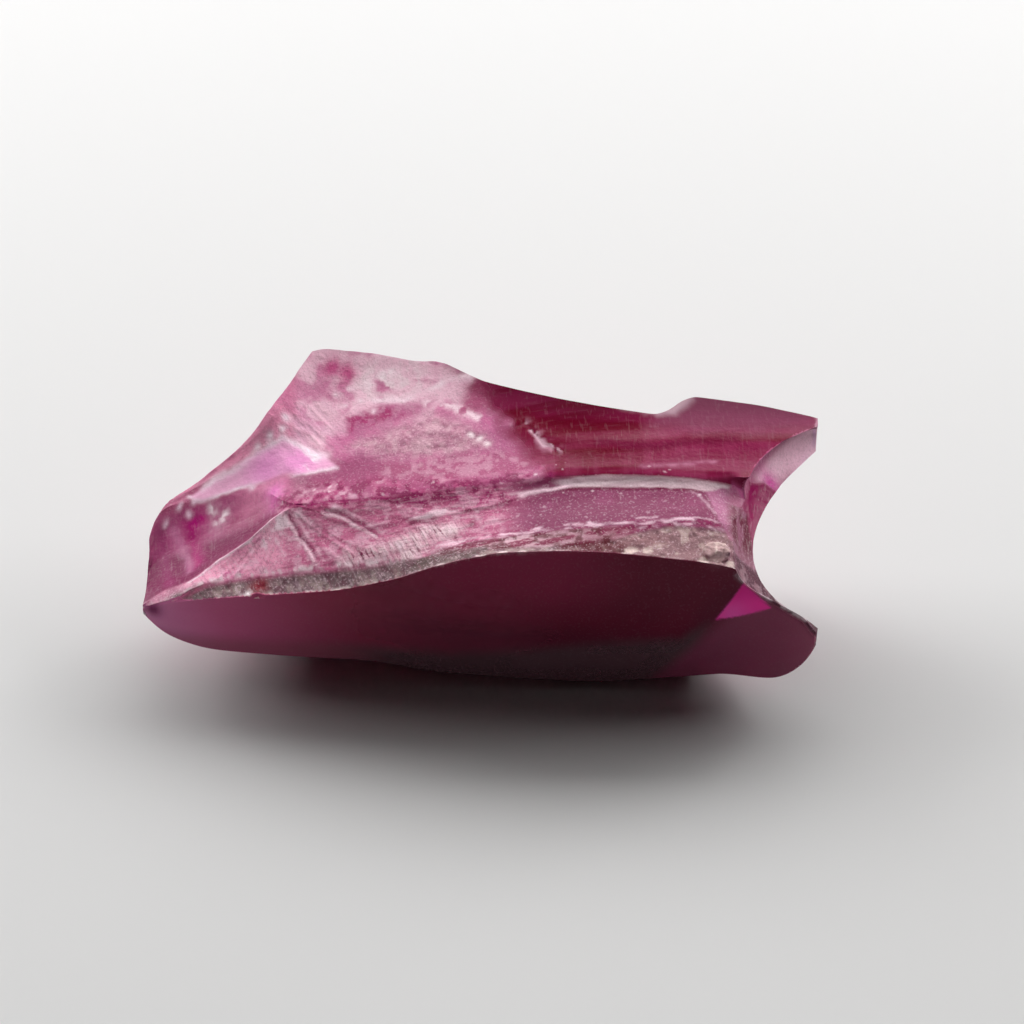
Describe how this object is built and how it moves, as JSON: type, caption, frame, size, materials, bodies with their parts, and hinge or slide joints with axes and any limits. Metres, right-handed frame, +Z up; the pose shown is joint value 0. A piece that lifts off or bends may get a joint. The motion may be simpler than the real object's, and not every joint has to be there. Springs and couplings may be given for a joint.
{
  "type": "raw ruby crystal",
  "caption": "Broken fragment of raw ruby: smooth lens-shaped front, stepped fracture surface on top, hollow bite at one end, flat underside to rest on.",
  "frame": {"origin": "centre of the bounding box, on the flat underside that the piece rests on", "axes": "+X along the length, from the low tip to the bitten end; +Y from the smooth front face to the broken back; +Z up from the rest face"},
  "size_m": [0.03, 0.0132, 0.0098],
  "materials": {
    "ruby": "translucent deep purplish red crystal; glassy and smooth on the front face, satin to frosted with whitish bruises on the broken faces"
  },
  "bodies": {
    "root": {"ruby_crystal": "ruby"}
  },
  "joints": []
}
